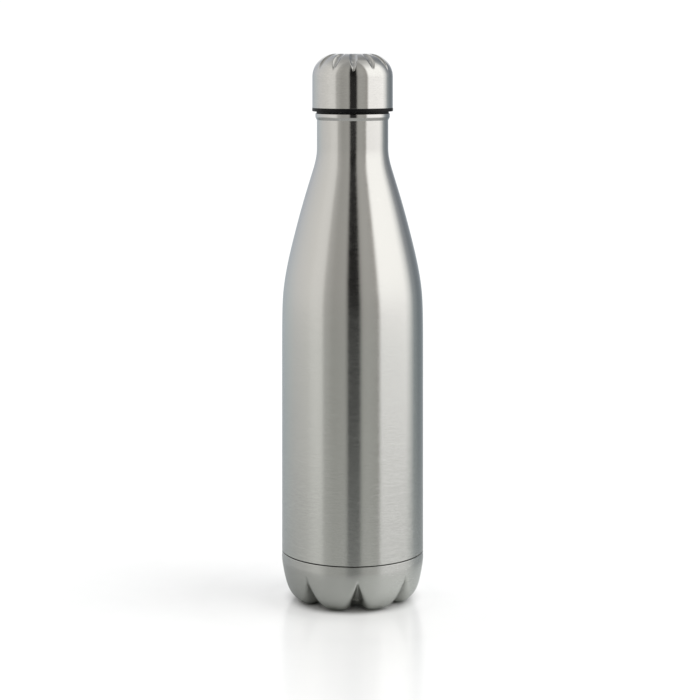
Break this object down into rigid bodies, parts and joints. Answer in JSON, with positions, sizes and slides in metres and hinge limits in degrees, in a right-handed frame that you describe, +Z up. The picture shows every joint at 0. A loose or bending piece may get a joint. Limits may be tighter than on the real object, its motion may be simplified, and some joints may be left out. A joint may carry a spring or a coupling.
{
  "type": "insulated water bottle",
  "caption": "Slim double-walled steel drinking bottle with a long shoulder, a lobed foot cup and a fluted dome cap that screws out of the mouth.",
  "frame": {"origin": "centre of the feet on the ground plane", "axes": "+Z up along the bottle's axis, -Y toward the front, +X to the right seen from the front"},
  "size_m": [0.081, 0.081, 0.3117],
  "materials": {
    "shell_steel": "brushed round the axis",
    "liner_steel": "polished",
    "plain_steel": "satin",
    "foot_steel": "satin, fine brushed",
    "cap_steel": "brushed round the axis",
    "copper_foil": "polished",
    "getter_alloy": "matte",
    "seal_glass": "gloss",
    "bond": "matte",
    "insert_plastic": "satin",
    "stopper_plastic": "satin",
    "foam": "matte",
    "silicone": "matte"
  },
  "bodies": {
    "bottle": {"outer_shell": "shell_steel", "inner_liner": "liner_steel", "liner_bottom": "liner_steel", "outer_bottom": "plain_steel", "vacuum_seal_bead": "seal_glass", "getter_tablet": "getter_alloy", "getter_clip": "plain_steel", "foil_wrap": "copper_foil", "base_cup": "foot_steel", "base_bond_ring": "bond"},
    "seal_ring": {"rim_gasket": "silicone"},
    "cap": {"cap_shell": "cap_steel", "cap_insert": "insert_plastic", "stopper_body": "stopper_plastic", "stopper_foam": "foam"}
  },
  "joints": [
    {"name": "cap_lift", "type": "slide", "parent": "bottle", "child": "seal_ring", "axis": [0, 0, 1], "range_m": [0, 0.0261]},
    {"name": "cap_turn", "type": "hinge", "parent": "seal_ring", "child": "cap", "pos_m": [0, 0, 0.2777], "axis": [0, 0, 1], "range_deg": [0, 1170]}
  ],
  "couplings": [
    {"joint": "cap_lift", "follows": "cap_turn", "m_per_rad": 0.0012732}
  ]
}
